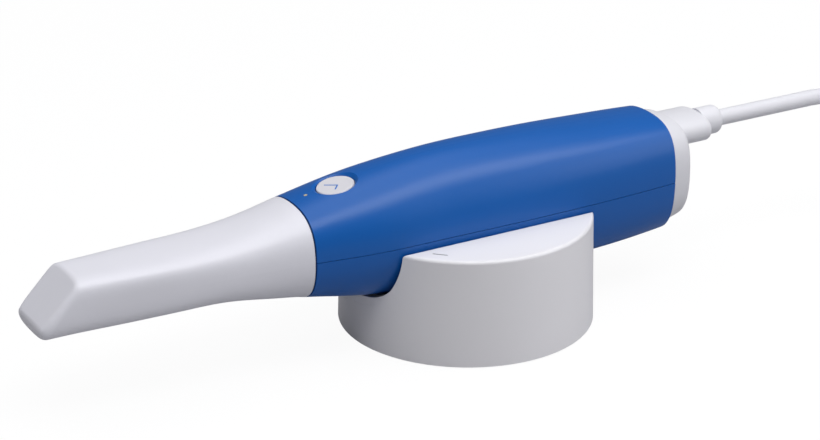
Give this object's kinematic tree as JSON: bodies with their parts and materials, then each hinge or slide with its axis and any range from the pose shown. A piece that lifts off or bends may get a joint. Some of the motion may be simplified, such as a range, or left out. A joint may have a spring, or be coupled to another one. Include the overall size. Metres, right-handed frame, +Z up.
{
  "type": "intraoral scanner",
  "caption": "Handheld intraoral scanner with a pull-off sloped tip and a mirror over its window, lying in a round desk cradle, with its cable coiled beside it.",
  "frame": {"origin": "middle of the cradle's foot, on the desk", "axes": "+Z up; the handpiece lies along X with its tip towards -X and its cable towards +X"},
  "size_m": [0.4232, 0.1428, 0.0636],
  "materials": {
    "cradle_white": "satin moulded",
    "cradle_inner": "moulded",
    "steel": "plain",
    "foot_rubber": "matt",
    "ballast_iron": "plain",
    "shell_blue": "fine satin",
    "button_white": "fine satin",
    "black_plastic": "matt",
    "board_green": "solder mask",
    "light_lens": "clear lens",
    "chassis_metal": "die cast",
    "black_metal": "black anodised",
    "optic_glass": "polished",
    "sink_metal": "anodised",
    "socket_metal": "plated",
    "cap_grey": "fine satin",
    "plug_grey": "fine satin",
    "collar_white": "soft",
    "barrel_black": "matt",
    "seal_dark": "matt",
    "tip_white": "fine satin",
    "mirror_glass": "polished",
    "cable_white": "soft sheath"
  },
  "bodies": {
    "scanner_and_cradle": {"cradle_shell": "cradle_white", "cradle_base_plate": "cradle_inner", "cradle_screws": "steel", "cradle_foot_pad": "foot_rubber", "cradle_ballast": "ballast_iron", "upper_housing": "shell_blue", "lower_housing": "shell_blue", "button_switch": "black_plastic", "button_board": "board_green", "status_light": "light_lens", "power_switch": "black_plastic", "chassis": "chassis_metal", "chassis_screws": "steel", "lens_barrel": "black_metal", "lens_group": "optic_glass", "prism": "optic_glass", "camera_board": "board_green", "projector_module": "black_metal", "projector_sink": "sink_metal", "main_board": "board_green", "processor_sink": "sink_metal", "vibration_motor": "steel", "socket_board": "board_green", "cable_socket": "socket_metal", "rear_cap": "cap_grey", "plug_body": "plug_grey", "plug_shell": "socket_metal", "plug_collar": "collar_white", "nose_barrel": "barrel_black", "nose_window": "optic_glass", "joint_seal": "seal_dark", "cable": "cable_white", "cable_coil": "cable_white", "cable_tail": "cable_white", "hub_collar": "collar_white", "hub_plug": "plug_grey", "hub_plug_shell": "socket_metal"},
    "tip": {"tip_shell": "tip_white", "tip_mirror": "mirror_glass"},
    "scan_button": {"scan_button": "button_white"},
    "power_button": {"power_button": "button_white"}
  },
  "joints": [
    {"name": "tip_pull", "type": "slide", "parent": "scanner_and_cradle", "child": "tip", "axis": [-1, 0, 0], "range_m": [0, 0.034]},
    {"name": "scan_press", "type": "slide", "parent": "scanner_and_cradle", "child": "scan_button", "axis": [0.1904, 0, -0.9817], "range_m": [0, 0.0006], "stiffness_N_per_m": 1500},
    {"name": "power_press", "type": "slide", "parent": "scanner_and_cradle", "child": "power_button", "axis": [0, 0, 1], "range_m": [0, 0.0005], "stiffness_N_per_m": 1500}
  ]
}
